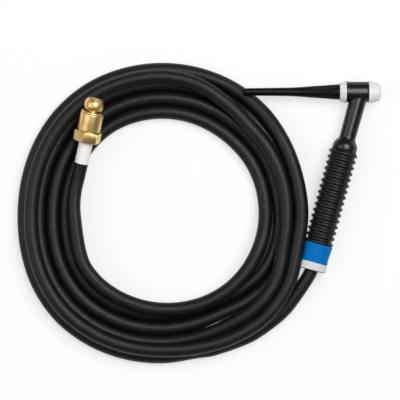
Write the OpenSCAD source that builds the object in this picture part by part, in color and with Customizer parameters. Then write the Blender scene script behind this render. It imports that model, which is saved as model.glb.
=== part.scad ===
// Air-cooled welding torch with its hose: rigid head, long back cap, ribbed
// handle, a coiled hose and a swivelling brass connector.
// Millimetres, +Z up, the torch and the coil lie on the plane Z = 0.

/* [Head] */
// Outside diameter of the moulded head
head_d = 20.6; // [18:0.1:24]
// Reach of the head in front of the neck axis
head_front = 8.6; // [8:0.1:12]
// Reach of the head behind the neck axis
head_rear = 14.4; // [12:0.1:18]
// Outside diameter of the brass core in the head
core_d = 12; // [11:0.1:13.5]
// How far the core's nose stands out of the head
core_nose = 6; // [4:0.5:8]
// Wall radius of the collet body's threaded hole
collet_bore_r = 4.4; // [3.5:0.1:4.8]
// Depth of the collet body's threaded hole
collet_bore_len = 12; // [8:0.5:13]

/* [Head insulators] */
// Diameter of the white rear collar beside the head
collar_d = 20.4; // [19:0.1:22]
// Diameter of the rear collar beside the cap
collar_end_d = 17; // [16.6:0.1:18]
// Length of the rear collar
collar_len = 5.4; // [4:0.1:8]
// Diameter of the white front insulator
insulator_d = 20.4; // [19:0.1:24]
// Length of the front insulator
insulator_len = 12; // [10:0.5:16]
// Rounding of the front insulator's outer corner
insulator_round = 3; // [1:0.25:4]
// Hole in the front insulator for the collet body
insulator_hole_d = 10.4; // [10:0.1:11]

/* [Neck] */
// Angle between the neck and the square across the head
neck_angle = 15.3; // [0:0.1:30]
// Neck diameter beside the head
neck_d1 = 17.3; // [15:0.1:19]
// Neck diameter where it meets the shoulder
neck_d2 = 16.3; // [14:0.1:18]
// Distance from the head axis to the shoulder
neck_len = 47; // [35:1:60]
// Shoulder diameter in front of the handle
shoulder_d = 25; // [23.5:0.1:26]
// Length of the flare from the neck to the shoulder
flare_len = 9; // [6:0.5:12]
// Length of the shoulder's straight rim
rim_len = 4.4; // [3:0.1:6]
// Length of the spigot that enters the handle
spigot_len = 16; // [10:1:20]
// Outside diameter of the gas and current tube in the neck
neck_tube_d = 7; // [6:0.1:8]
// Bore of that tube
neck_tube_bore = 4.4; // [3:0.1:5]

/* [Back cap] */
// Length of the back cap
cap_len = 96.7; // [60:1:120]
// Diameter of the cap at the collar
cap_d1 = 15.8; // [14:0.1:17]
// Diameter where the flare runs out
cap_d2 = 9.4; // [8.5:0.1:11]
// Diameter at the closed end
cap_d3 = 6.8; // [6:0.1:8]
// Length of the flared grip
cap_grip_len = 47; // [30:1:55]
// Number of finger flutes round the grip
cap_flutes = 12; // [6:1:18]
// Depth of a flute at the collar
flute_depth = 0.7; // [0.3:0.1:1]
// Bore for the electrode
cap_bore_d = 4; // [3.2:0.1:5]
// Outside diameter of the cap's threaded insert
cap_thread_d = 9.6; // [9:0.1:10.2]
// Length of thread in the head
cap_thread_len = 9.5; // [8:0.5:10]

/* [Handle] */
// Diameter over the ribs
rib_d = 28.9; // [27.5:0.1:32]
// Diameter between the ribs
valley_d = 25.7; // [24.5:0.1:27]
// Number of ring ribs
rib_count = 16; // [8:1:17]
// Width of a rib at its foot
rib_foot = 3; // [2:0.1:4]
// Width of a rib at its crest
rib_crest = 1.2; // [0.6:0.1:1.8]
// Length of the handle
handle_len = 123.6; // [118:0.1:150]
// Bore of the handle
handle_bore_d = 19.2; // [18:0.1:20]
// Thickness of the wall at the handle's hose end
end_wall = 12; // [6:1:16]
// Length of the label sleeve
label_len = 26; // [16:0.5:28]
// Outside diameter of the label sleeve
label_d = 27.4; // [26.5:0.1:28.5]
// Thickness of the label sleeve
label_t = 0.4; // [0.2:0.1:0.6]
// Roll of the torch about its handle, cap end up
roll = 3; // [2:0.5:12]

/* [Hose] */
// Outside diameter of the hose
hose_d = 13.4; // [12:0.1:13.4]
// Radius of the coil's outermost loop
coil_r = 144; // [143:0.5:146]
// Step from one loop to the next in a layer
loop_step = 14; // [13.9:0.05:14.2]
// Step from one layer to the next
layer_step = 14; // [13.9:0.05:14.4]
// How far the loops are pressed in on the side away from the torch
coil_press = 6.3; // [5:0.1:7]

/* [Hose connector] */
// Hexagon of the swivel nut, across flats
nut_af = 24; // [22:0.5:26]
// Length of the hexagon
nut_hex_len = 10.5; // [8:0.5:14]
// Outside diameter of the nut's threaded barrel
barrel_d = 21.5; // [20.5:0.1:22.5]
// Length of the barrel
barrel_len = 20; // [14:0.5:26]
// Diameter of the nipple's neck in the nut
nipple_neck_d = 12.9; // [12:0.1:14]
// Diameter of the nipple's ball end
ball_d = 19.7; // [18:0.1:20.4]
// Length of the ball end
ball_len = 11.9; // [10:0.1:14]
// Gap between the nut's barrel and the ball end
ball_gap = 2.5; // [1:0.1:4]
// Bore at the nipple's ball end
nipple_bore_d = 7; // [5:0.5:8]
// Bore through the barbed ends of both nipples
barb_bore_d = 3.6; // [2.5:0.1:4]
// Depth of the nut's counterbore over the crimped hose
counterbore_len = 17; // [15:0.5:20]
// Length of the hose label sleeve
hose_label_len = 22.5; // [15:0.5:30]
// Thickness of the hose label sleeve
hose_label_t = 0.3; // [0.2:0.1:0.5]
// Upward tilt of the connector
connector_tilt = 12; // [8:1:16]

/* [Fits] */
// Radial clearance of a running fit
fit = 0.05; // [0.02:0.01:0.1]
// Clearance between fixed parts
gap = 0.1; // [0.05:0.01:0.2]
// Clearance that keeps moving faces apart
play = 0.3; // [0.2:0.05:0.4]

/* [Hidden] */
$fn = 72;

black = [0.06, 0.06, 0.07];
deep_black = [0.03, 0.03, 0.035];
white = [0.93, 0.93, 0.91];
brass = [0.83, 0.67, 0.35];
blue = [0.1, 0.35, 0.75];
hose_black = [0.1, 0.1, 0.11];

// where the head axis and the neck axis cross
torch_x = 47.8;
torch_y = 85.36;
torch_z = rib_d / 2;
neck_dir = [-sin(neck_angle), -cos(neck_angle), 0];

// stations along the neck axis, from the head axis
shoulder_at = neck_len + flare_len;
handle_at = shoulder_at + rim_len + play;
handle_end = handle_at + handle_len;
spigot_end = handle_at + spigot_len;
label_at = handle_end - label_len;
first_rib = handle_at + rib_foot;
last_rib = label_at - rib_foot / 2 - 1.15;
rib_pitch = (last_rib - first_rib) / (rib_count - 1);
spigot_d = handle_bore_d - 2 * gap;

// inside the handle: tube end, nut, nipple and crimp
tail_thread_d = 9.4;
tail_thread_len = 12;
tail_at = spigot_end;
tail_end = tail_at + tail_thread_len;
cable_nut_af = 15;
cable_nut_len = 16;
cable_nut_at = tail_at + 3;
cable_nut_end = cable_nut_at + cable_nut_len;
cable_nut_wall = 3;
cable_nipple_d = 7;
hose_start = cable_nut_end + 3;
barb_len = 18;
barb_d = 7.6;
barb_pitch = 4;
ferrule_t = 1.2;
ferrule_len = 14;

// stations along the head axis, positive to the front
nose_end = head_front + core_nose;
collar_end = head_rear + collar_len;
collar_rim = 1.2;
seal_r = 0.9;
seal_ring_r = cap_thread_d / 2 + seal_r + 0.35;
cap_at = collar_end + play;

module along_head() {
    rotate([0, 90, 0]) children();
}

module along_cap() {
    rotate([0, -90, 0]) children();
}

module along_neck() {
    rotate([0, 0, -neck_angle]) rotate([90, 0, 0]) children();
}

module in_torch() {
    translate([torch_x, torch_y, torch_z]) rotate(a = -roll, v = neck_dir) children();
}

// a point given on the neck axis, in the part's frame
function on_neck(s) = [torch_x, torch_y, torch_z] + s * neck_dir;

// quarter-wave blend from 0 to 1
function ease(u) = (1 - cos(180 * u)) / 2;

module barbed(len, d, pitch) {
    count = floor(len / pitch);
    rotate_extrude()
        polygon(concat(
            [[0, 0]],
            [for (i = [0 : count - 1], e = [0, 1])
                [d / 2 - (e == 0 ? 0.6 : 0), (i + e) * pitch]],
            [[d / 2 - 0.6, count * pitch], [d / 2 - 0.6, len], [0, len]]
        ));
}

module hexagon(af, len) {
    cylinder(d = af / cos(30), h = len, $fn = 6);
}

// a hexagon with both ends turned down at 30 degrees
module chamfered_hexagon(af, len) {
    corner_r = af / 2 / cos(30);
    drop = (corner_r - af / 2) * tan(30) + 0.6;
    intersection() {
        hexagon(af, len);
        rotate_extrude()
            polygon([
                [0, 0], [corner_r - drop / tan(30), 0], [corner_r, drop],
                [corner_r, len - drop], [corner_r - drop / tan(30), len], [0, len]
            ]);
    }
}

// ---------------------------------------------------------------- torch head

module head_insulation() color(black) in_torch() difference() {
    union() {
        along_head() translate([0, 0, -head_rear])
            rotate_extrude()
                polygon([
                    [0, 0], [head_d / 2 - 0.4, 0], [head_d / 2, 0.4],
                    [head_d / 2, head_rear + head_front - 0.4],
                    [head_d / 2 - 0.4, head_rear + head_front],
                    [0, head_rear + head_front]
                ]);
        along_neck() rotate_extrude()
            polygon(concat(
                [[0, 0], [neck_d1 / 2, 0], [neck_d1 / 2, head_d / 2]],
                [for (u = [0 : 0.125 : 1])
                    [
                        neck_d2 / 2 + (shoulder_d - neck_d2) / 2 * ease(u),
                        neck_len + flare_len * u
                    ]],
                [
                    [shoulder_d / 2, handle_at - play - 0.6],
                    [shoulder_d / 2 - 0.6, handle_at - play],
                    [spigot_d / 2, handle_at - play],
                    [spigot_d / 2, spigot_end - 1],
                    [spigot_d / 2 - 1, spigot_end],
                    [0, spigot_end]
                ]
            ));
    }
    along_head() translate([0, 0, -head_rear - 1])
        cylinder(d = core_d + 2 * gap, h = head_rear + head_front + 2);
    along_neck() cylinder(d = neck_tube_d + 2 * gap, h = spigot_end + 1);
}

module head_core() color(brass) in_torch() along_head() difference() {
    translate([0, 0, -head_rear]) rotate_extrude()
        polygon([
            [0, 0], [core_d / 2, 0], [core_d / 2, head_rear + nose_end - 0.8],
            [core_d / 2 - 0.8, head_rear + nose_end], [0, head_rear + nose_end]
        ]);
    translate([0, 0, nose_end - collet_bore_len])
        cylinder(r = collet_bore_r, h = collet_bore_len + 1);
    translate([0, 0, -head_rear - 1])
        cylinder(d = cap_bore_d, h = head_rear + nose_end);
    translate([0, 0, -head_rear - 1])
        cylinder(d = cap_thread_d + 2 * fit, h = cap_thread_len + 1 + play);
    rotate([0, -90, 0]) along_neck() cylinder(d = neck_tube_bore, h = core_d);
}

module neck_tube() color(brass) in_torch() difference() {
    along_neck() difference() {
        union() {
            cylinder(d = neck_tube_d, h = tail_at + 1);
            translate([0, 0, tail_at]) cylinder(d = tail_thread_d, h = tail_thread_len);
        }
        translate([0, 0, -1]) cylinder(d = neck_tube_bore, h = tail_end + 2);
    }
    along_head() translate([0, 0, -head_rear])
        cylinder(d = core_d, h = head_rear + head_front);
}

module rear_collar() color(white) in_torch() along_cap() translate([0, 0, head_rear])
    difference() {
        rotate_extrude()
            polygon(concat(
                [[0, 0], [collar_d / 2 - 0.3, 0], [collar_d / 2, 0.3]],
                [for (a = [0 : 15 : 90])
                    [
                        collar_end_d / 2 + (collar_d - collar_end_d) / 2 * cos(a),
                        collar_rim + (collar_len - collar_rim) * sin(a)
                    ]],
                [[0, collar_len]]
            ));
        translate([0, 0, -1]) cylinder(d = cap_thread_d + 2 * gap, h = collar_len + 2);
        translate([0, 0, collar_len - 2 * seal_r + 0.2])
            cylinder(r = seal_ring_r + seal_r + play, h = collar_len);
    }

module front_insulator() color(white) in_torch() along_head()
    translate([0, 0, head_front + gap]) difference() {
        rotate_extrude()
            polygon(concat(
                [[0, 0], [insulator_d / 2 - 0.4, 0], [insulator_d / 2, 0.4]],
                [for (a = [0 : 11.25 : 90])
                    [
                        insulator_d / 2 - insulator_round * (1 - cos(a)),
                        insulator_len - insulator_round * (1 - sin(a))
                    ]],
                [[0, insulator_len]]
            ));
        translate([0, 0, -1]) cylinder(d = core_d + 2 * fit, h = core_nose + 1 + play);
        cylinder(d = insulator_hole_d, h = insulator_len + 1);
    }

// ------------------------------------------------------------------ back cap

function cap_r(z) = z < cap_grip_len
    ? cap_d2 / 2 + (cap_d1 - cap_d2) / 2 * pow(1 - z / cap_grip_len, 1.25)
    : cap_d3 / 2 + (cap_d2 - cap_d3) / 2 * (cap_len - z) / (cap_len - cap_grip_len);

flute_r = 1.6;
flute_len = cap_grip_len * 0.8;
flute_slope = atan((cap_r(0) - cap_r(flute_len)) / flute_len);

module back_cap() color(deep_black) in_torch() along_cap() translate([0, 0, cap_at])
    difference() {
        rotate_extrude()
            polygon(concat(
                [[0, 0], [cap_r(0) - 0.5, 0], [cap_r(0), 0.5]],
                [for (i = [1 : 8]) [cap_r(cap_grip_len * i / 8), cap_grip_len * i / 8]],
                [
                    [cap_d3 / 2, cap_len - 0.6], [cap_d3 / 2 - 0.6, cap_len], [0, cap_len]
                ]
            ));
        translate([0, 0, -1])
            cylinder(d = cap_thread_d - 2 * fit + 2 * gap, h = insert_depth + 1 + gap);
        cylinder(d = cap_bore_d, h = cap_len - 6);
        for (i = [0 : cap_flutes - 1])
            rotate([0, 0, i * 360 / cap_flutes])
                translate([cap_r(0) + flute_r - flute_depth, 0, 0])
                    rotate([0, -flute_slope * 1.12, 0])
                        translate([0, 0, -2]) cylinder(r = flute_r, h = flute_len, $fn = 24);
    }

insert_depth = 14;

// brass insert moulded into the cap; its front end is the male thread
module cap_thread_insert() color(brass) in_torch() along_cap()
    translate([0, 0, head_rear - cap_thread_len]) difference() {
        union() {
            translate([0, 0, 0.5])
                cylinder(d = cap_thread_d, h = cap_at - head_rear + cap_thread_len - 0.5);
            cylinder(d1 = cap_thread_d - 1, d2 = cap_thread_d, h = 0.5);
            cylinder(
                d = cap_thread_d - 2 * fit,
                h = cap_at - head_rear + cap_thread_len + insert_depth
            );
        }
        translate([0, 0, -1]) cylinder(d = cap_bore_d, h = 200);
    }

// O-ring that the cap presses against the collar
module cap_seal() color(deep_black) in_torch() along_cap()
    translate([0, 0, cap_at - seal_r - gap]) rotate_extrude()
        translate([seal_ring_r, 0]) circle(r = seal_r, $fn = 24);

// -------------------------------------------------------------------- handle

module handle() color(black) in_torch() along_neck() difference() {
    rotate_extrude()
        polygon(concat(
            [
                [0, handle_at], [valley_d / 2 - 0.8, handle_at],
                [valley_d / 2, handle_at + 0.8]
            ],
            [for (i = [0 : rib_count - 1], e = [0 : 3])
                [
                    (e == 0 || e == 3) ? valley_d / 2 : rib_d / 2,
                    first_rib + i * rib_pitch
                        + [-rib_foot, -rib_crest, rib_crest, rib_foot][e] / 2
                ]],
            [
                [valley_d / 2, label_at - 0.8], [label_d / 2 - label_t - gap, label_at - 0.4],
                [label_d / 2 - label_t - gap, handle_end - 0.8],
                [label_d / 2 - label_t - 0.9, handle_end], [0, handle_end]
            ]
        ));
    translate([0, 0, handle_at - 1])
        cylinder(d = handle_bore_d, h = handle_len + 1 - end_wall);
    cylinder(d = hose_d + 2 * play, h = handle_end + 1);
}

module handle_label() color(blue) in_torch() along_neck()
    translate([0, 0, label_at]) difference() {
        cylinder(d = label_d, h = label_len - 1);
        translate([0, 0, -1]) cylinder(d = label_d - 2 * label_t, h = label_len + 1);
    }

// ---------------------------------------------------- joint inside the handle

module torch_cable_nut() color(brass) in_torch() along_neck()
    translate([0, 0, cable_nut_at]) difference() {
        chamfered_hexagon(cable_nut_af, cable_nut_len);
        translate([0, 0, -1])
            cylinder(d = tail_thread_d + 2 * gap, h = cable_nut_len + 1 - cable_nut_wall);
        cylinder(d = cable_nipple_d + 2 * gap, h = cable_nut_len + 1);
    }

module torch_nipple() color(brass) in_torch() along_neck() difference() {
    union() {
        translate([0, 0, tail_end + gap])
            cylinder(d = tail_thread_d, h = cable_nut_end - cable_nut_wall - tail_end - 2 * gap);
        translate([0, 0, tail_end + gap])
            cylinder(d = cable_nipple_d, h = hose_start - tail_end - gap);
        translate([0, 0, hose_start]) barbed(barb_len, barb_d, barb_pitch);
    }
    cylinder(d = barb_bore_d, h = hose_start + barb_len + 1);
}

module torch_crimp_ferrule() color(brass) in_torch() along_neck()
    translate([0, 0, hose_start + 1]) crimp_ferrule();

module crimp_ferrule() {
    outer_r = hose_d / 2 + gap + ferrule_t;
    difference() {
        rotate_extrude()
            polygon([
                [0, 0], [outer_r - 0.4, 0], [outer_r, 0.4], [outer_r, 3],
                [outer_r - 0.4, 3.4], [outer_r - 0.4, 6.2], [outer_r, 6.6],
                [outer_r, 8], [outer_r - 0.4, 8.4], [outer_r - 0.4, 11],
                [outer_r, 11.4], [outer_r, ferrule_len - 0.4],
                [outer_r - 0.4, ferrule_len], [0, ferrule_len]
            ]);
        translate([0, 0, -1]) cylinder(r = hose_d / 2 + gap, h = ferrule_len + 2);
    }
}

// ---------------------------------------------------------------------- hose

// Tube swept along points. Rings stand square to the path, one corner down.
module tube(path, d, sides) {
    last = len(path) - 1;
    along = [for (i = [0 : last])
        unit(path[min(i + 1, last)] - path[max(i - 1, 0)])];
    points = [for (i = [0 : last], k = [0 : sides - 1])
        let (
            side = unit(cross(along[i], [0, 0, 1])),
            up = cross(side, along[i]),
            a = 90 + k * 360 / sides
        )
        path[i] + d / 2 * (cos(a) * side + sin(a) * up)];
    walls = [for (i = [0 : last - 1], k = [0 : sides - 1])
        let (a = i * sides + k, b = i * sides + (k + 1) % sides)
        each [[a, b, b + sides], [a, b + sides, a + sides]]];
    caps = [for (k = [1 : sides - 2])
        each [[0, k + 1, k], last * sides * [1, 1, 1] + [0, k, k + 1]]];
    polyhedron(points, concat(walls, caps));
}

function unit(v) = v / norm(v);

// The hose lies in two layers. The outermost loop climbs onto the others, lies
// on them for a turn, comes down inside itself and then steps in by one place a
// turn; the last half turn lies on the innermost loop. Turns are counted from
// the handle, and each list has its knots in their order along the hose.
rings_per_turn = 24;
coil_x = -150.2;
coil_y = -35.6;
coil_first = 5;
coil_last = 132;

// how far every loop leaves the circle, [part of a turn, outwards]
coil_shape = [
    [0, 1.6], [0.20, -0.8], [0.36, 1.3], [0.51, -coil_press], [0.68, -0.7],
    [0.84, -0.7], [0.95, 1.6], [1, 1.6]
];
// [turn, places in from the outermost loop]
coil_places = [
    [0.79, 0], [0.87, -0.08], [0.97, 0.48], [1.045, 0.48], [1.12, 0.06],
    [1.31, 0.5], [1.75, 0.5], [1.89, 1.5], [2.03, 1.5], [2.13, 1.1], [2.21, 1],
    [3.06, 1], [3.19, 2], [4.06, 2], [4.19, 3], [5.10, 3], [5.36, 3.6],
    [5.50, 3.54]
];
// [turn, layer]
coil_layers = [[0.82, 0], [0.94, 1], [2.12, 1], [2.23, 0], [4.95, 0], [5.07, 1]];

function between(list, t, i = 0) =
    t <= list[0][0] ? list[0][1]
    : i == len(list) - 1 ? list[i][1]
    : t <= list[i + 1][0]
        ? list[i][1] + (list[i + 1][1] - list[i][1])
            * ease((t - list[i][0]) / (list[i + 1][0] - list[i][0]))
        : between(list, t, i + 1);

// a point about the middle of the coil: radius, clockwise angle, height over
// the axis of a loop that lies on the floor
function around(r, angle, up) = [
    coil_x + r * cos(angle), coil_y - r * sin(angle), hose_d / 2 + up
];

function coil_point(t) = around(
    coil_r - loop_step * between(coil_places, t) + between(coil_shape, t - floor(t)),
    360 * t,
    layer_step * between(coil_layers, t)
);

coil_path = [for (i = [coil_first : coil_last]) coil_point(i / rings_per_turn)];
coil_start = coil_path[0];
coil_end = coil_path[len(coil_path) - 1];
coil_start_dir = unit(coil_path[1] - coil_start);
coil_end_dir = unit(coil_end - coil_path[len(coil_path) - 2]);

// connector axis: from the start of its label sleeve towards the ball end
connector_base = [-230.3, 14.4, 25.5];
connector_heading = 77.4;
connector_dir = [
    cos(connector_heading) * cos(connector_tilt),
    sin(connector_heading) * cos(connector_tilt),
    sin(connector_tilt)
];

// the hose comes down from the handle on a spiral: [out from the coil, angle, height]
lead_bend = [[17.2, 31, 6.7], [14.8, 38.8, 4.5], [11.3, 46.4, 2.4], [7.6, 55.1, 0.9]];
lead_path = concat(
    [on_neck(hose_start), on_neck(handle_end), on_neck(handle_end + hose_d)],
    [for (b = lead_bend) around(coil_r + b[0], b[1], b[2])],
    [coil_start - hose_d * coil_start_dir, coil_start]
);
// and leaves the coil's inside to the connector
tail_bend = around(coil_r - 54.2, 196.4, layer_step + 0.9);
tail_path = [
    coil_end, coil_end + hose_d * coil_end_dir, tail_bend,
    connector_base - hose_d * connector_dir, connector_base,
    connector_base + (hose_label_len + barb_len - 2) * connector_dir
];

module hose_lead() color(hose_black) tube(lead_path, hose_d, 12);

module hose_coil() color(hose_black) tube(coil_path, hose_d, 6);

module hose_tail() color(hose_black) tube(tail_path, hose_d, 12);

// least gap of the coil to itself, on its rings and the middles between them
half_points = [for (i = [0 : len(coil_path) - 2])
    each [coil_path[i], (coil_path[i] + coil_path[i + 1]) / 2]];
self_gap = min([for (i = [0 : len(half_points) - 1])
    for (j = [i + rings_per_turn : len(half_points) - 1])
        norm(half_points[i] - half_points[j])]) - hose_d;

// ----------------------------------------------------------------- connector

module in_connector(s) {
    translate(connector_base + s * connector_dir)
        rotate([0, 90 - connector_tilt, connector_heading]) children();
}

hex_at = hose_label_len + gap;
barrel_end = hex_at + nut_hex_len + barrel_len;
ball_at = barrel_end + ball_gap;
neck_at = hex_at + counterbore_len - 1.5;
crimp_at = hex_at + 1;
nut_turn = 12;

module hose_label() color(white) in_connector(0) difference() {
    cylinder(d = hose_d + 2 * hose_label_t + 2 * gap, h = hose_label_len);
    translate([0, 0, -1]) cylinder(d = hose_d + 2 * gap, h = hose_label_len + 2);
}

module connector_crimp_ferrule() color(brass) in_connector(crimp_at) crimp_ferrule();

module ball_nipple() color(brass) in_connector(0) difference() {
    union() {
        translate([0, 0, neck_at]) cylinder(d = nipple_neck_d, h = ball_at - neck_at + 1);
        translate([0, 0, hose_label_len]) barbed(neck_at - hose_label_len, barb_d, barb_pitch);
        translate([0, 0, ball_at]) rotate_extrude()
            polygon(concat(
                [[0, 0], [nipple_neck_d / 2, 0], [ball_d / 2 - 1.2, 0.9]],
                [for (a = [0 : 15 : 75])
                    [
                        ball_d / 2 * cos(a * 0.6),
                        2.6 + (ball_len - 2.6) * sin(a) / sin(75)
                    ]],
                [[0, ball_len]]
            ));
    }
    translate([0, 0, neck_at + 2]) cylinder(d = nipple_bore_d, h = ball_at + ball_len);
    cylinder(d = barb_bore_d, h = neck_at + 3);
}

module connector_nut() color(brass) in_connector(hex_at) rotate([0, 0, nut_turn])
    difference() {
        union() {
            chamfered_hexagon(nut_af, nut_hex_len);
            translate([0, 0, nut_hex_len - 1]) rotate_extrude()
                polygon([
                    [0, 0], [barrel_d / 2 - 0.9, 0], [barrel_d / 2 - 0.9, 2.2],
                    [barrel_d / 2, 3.1], [barrel_d / 2, barrel_len],
                    [barrel_d / 2 - 1, barrel_len + 1], [0, barrel_len + 1]
                ]);
        }
        translate([0, 0, -1])
            cylinder(r = hose_d / 2 + gap + ferrule_t + play, h = counterbore_len + 1);
        cylinder(d = nipple_neck_d + 2 * fit, h = nut_hex_len + barrel_len + 1);
    }

head_insulation();
head_core();
neck_tube();
rear_collar();
front_insulator();
back_cap();
cap_thread_insert();
cap_seal();
handle();
handle_label();
torch_cable_nut();
torch_nipple();
torch_crimp_ferrule();
hose_lead();
hose_coil();
hose_tail();
hose_label();
connector_crimp_ferrule();
ball_nipple();
connector_nut();

echo(hose_coil_turns = (coil_last - coil_first) / rings_per_turn, least_gap_to_itself = self_gap);
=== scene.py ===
# Air-cooled welding torch on its coiled rubber hose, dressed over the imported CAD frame.
import math

import bpy
from mathutils import Matrix, Vector


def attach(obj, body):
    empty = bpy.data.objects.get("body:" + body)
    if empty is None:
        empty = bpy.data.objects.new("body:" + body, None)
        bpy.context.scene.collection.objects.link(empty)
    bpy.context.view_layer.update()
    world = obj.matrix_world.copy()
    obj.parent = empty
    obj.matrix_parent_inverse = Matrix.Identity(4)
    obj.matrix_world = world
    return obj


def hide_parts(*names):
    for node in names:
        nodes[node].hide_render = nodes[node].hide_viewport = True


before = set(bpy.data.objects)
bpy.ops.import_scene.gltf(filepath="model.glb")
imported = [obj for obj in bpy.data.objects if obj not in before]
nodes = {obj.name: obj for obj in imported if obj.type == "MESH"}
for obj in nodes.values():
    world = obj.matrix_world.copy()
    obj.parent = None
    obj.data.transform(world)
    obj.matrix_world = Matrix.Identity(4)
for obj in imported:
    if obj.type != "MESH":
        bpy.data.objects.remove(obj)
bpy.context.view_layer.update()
mm = 0.001
weldGap = 0.002 * mm
print("frame loaded:", len(nodes), "CAD nodes")


# working helpers

def deselectAll():
    if bpy.context.object and bpy.context.object.mode != "OBJECT":
        bpy.ops.object.mode_set(mode="OBJECT")
    bpy.ops.object.select_all(action="DESELECT")


def pick(piece):
    deselectAll()
    piece.select_set(True)
    bpy.context.view_layer.objects.active = piece


def softCorners(outline, steps=4):
    # outline rows are (radius, height) or (radius, height, rounding), in mm
    points = []
    for i, row in enumerate(outline):
        here = Vector(row[:2])
        if len(row) < 3:
            points.append(here)
            continue
        toLast = (Vector(outline[i - 1][:2]) - here).normalized()
        toNext = (Vector(outline[i + 1][:2]) - here).normalized()
        half = toLast.angle(toNext) / 2
        reach = row[2] / math.tan(half)
        centre = here + (toLast + toNext).normalized() * row[2] / math.sin(half)
        first, last = here + toLast * reach - centre, here + toNext * reach - centre
        for k in range(steps + 1):
            u = k / steps
            blend = first.slerp(last, u, first.lerp(last, u))
            points.append(centre + blend)
    return points


def turnPiece(name, outline, sides=96):
    # a half outline drawn point by point, then spun round the Z axis like lathe work
    points = softCorners(outline)
    deselectAll()
    bpy.ops.mesh.primitive_plane_add(size=mm)
    piece = bpy.context.object
    piece.name = piece.data.name = name
    bpy.ops.object.mode_set(mode="EDIT")
    bpy.ops.mesh.select_mode(type="VERT")
    bpy.ops.mesh.select_all(action="SELECT")
    bpy.ops.mesh.merge(type="CENTER")
    bpy.ops.transform.translate(value=(points[0].x * mm, 0, points[0].y * mm))
    for a, b in zip(points, points[1:]):
        bpy.ops.mesh.extrude_vertices_move(
            TRANSFORM_OT_translate={"value": ((b.x - a.x) * mm, 0, (b.y - a.y) * mm)})
    bpy.ops.mesh.select_all(action="SELECT")
    bpy.ops.mesh.spin(steps=sides, angle=math.tau, center=(0, 0, 0), axis=(0, 0, 1))
    bpy.ops.mesh.select_all(action="SELECT")
    bpy.ops.mesh.remove_doubles(threshold=weldGap)
    bpy.ops.mesh.normals_make_consistent(inside=False)
    bpy.ops.object.mode_set(mode="OBJECT")
    return piece


def combine(piece, tool, how):
    # the tool is used up, as in a boolean done by hand
    pick(piece)
    step = piece.modifiers.new(how.lower(), "BOOLEAN")
    step.operation, step.object, step.solver = how, tool, "EXACT"
    bpy.ops.object.modifier_apply(modifier=step.name)
    bpy.data.objects.remove(tool)


def joinUp(piece, other):
    pick(piece)
    other.select_set(True)
    bpy.ops.object.join()
    return piece


def choose(piece, test):
    # edit mode with only the vertices selected for which test(point in mm) holds
    pick(piece)
    for vertex in piece.data.vertices:
        vertex.select = bool(test(vertex.co / mm))
    bpy.ops.object.mode_set(mode="EDIT")
    bpy.ops.mesh.select_mode(type="VERT")


def settle(piece, place, smoothAngle=35):
    # moves a finished piece to its station and clears its transform
    pick(piece)
    piece.matrix_world = place
    bpy.ops.object.transform_apply(location=True, rotation=True, scale=True)
    bpy.ops.object.shade_smooth_by_angle(angle=math.radians(smoothAngle))
    return piece


def dress(piece, body, material, slot, *stoodFor):
    piece.data.materials.clear()
    piece.data.materials.append(material)
    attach(piece, body)
    if stoodFor:
        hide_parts(*stoodFor)
    return piece


# stations on the torch and the connector, in mm and degrees, as in the CAD source
torch = {
    "centre": (47.8, 85.36, 14.45), "neckAngle": 15.3, "roll": 3,
    "headFront": 8.6, "headRear": 14.4, "collarLength": 5.4, "play": 0.3,
    "handleAt": 60.7, "handleEnd": 184.3, "labelLength": 26,
}
connector = {"base": (-230.3, 14.4, 25.5), "heading": 77.4, "tilt": 12, "nutTurn": 15,
             "hexAt": 22.6, "hoseEnd": 38.5}

neckTurn = math.radians(torch["neckAngle"])
neckDirection = Vector((-math.sin(neckTurn), -math.cos(neckTurn), 0))
torchCentre = Vector(torch["centre"])
torchPlace = (Matrix.Translation(torchCentre * mm)
              @ Matrix.Rotation(math.radians(-torch["roll"]), 4, neckDirection))
headAxis = torchPlace @ Matrix.Rotation(math.pi / 2, 4, "Y")
capAxis = torchPlace @ Matrix.Rotation(-math.pi / 2, 4, "Y")
neckAxis = (torchPlace @ Matrix.Rotation(-neckTurn, 4, "Z")
            @ Matrix.Rotation(math.pi / 2, 4, "X"))
connectorBase = Vector(connector["base"])
connectorAxis = (Matrix.Translation(connectorBase * mm)
                 @ Matrix.Rotation(math.radians(connector["heading"]), 4, "Z")
                 @ Matrix.Rotation(math.radians(90 - connector["tilt"]), 4, "Y"))
connectorDirection = connectorAxis.to_3x3() @ Vector((0, 0, 1))
capStart = torch["headRear"] + torch["collarLength"] + torch["play"]
labelStart = torch["handleEnd"] - torch["labelLength"]


def onNeck(s):
    return torchCentre + s * neckDirection


def up(distance):
    return Matrix.Translation((0, 0, distance * mm))


# materials, all on object coordinates or on the hose's own UV map

def startMaterial(name):
    material = bpy.data.materials.new(name)
    material.use_nodes = True
    tree = material.node_tree
    shader = next(n for n in tree.nodes if n.type == "BSDF_PRINCIPLED")
    return material, tree, shader


def addNode(tree, kind, **values):
    # plain attributes go to the node, names with a capital first letter to its sockets
    node = tree.nodes.new(kind)
    for key, value in values.items():
        if key[0].isupper():
            node.inputs[key].default_value = value
        else:
            setattr(node, key, value)
    return node


def placedCoordinates(tree, place=None):
    # object coordinates, turned so that Z runs along the piece's own axis
    source = addNode(tree, "ShaderNodeTexCoord").outputs["Object"]
    if place is None:
        return source
    back = place.inverted()
    mapping = addNode(tree, "ShaderNodeMapping", Location=back.to_translation(),
                      Rotation=back.to_euler())
    tree.links.new(source, mapping.inputs["Vector"])
    return mapping.outputs["Vector"]


waveLines = 3.14    # nearly as many as a wave texture of scale 1 draws to a metre


def linesOn(tree, vector, perMetre, wander, detail, axis="Z"):
    wave = addNode(tree, "ShaderNodeTexWave", wave_type="BANDS", bands_direction=axis,
                   Scale=perMetre / waveLines, Distortion=wander, Detail=detail)
    tree.links.new(vector, wave.inputs["Vector"])
    return wave.outputs["Fac"]


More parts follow.
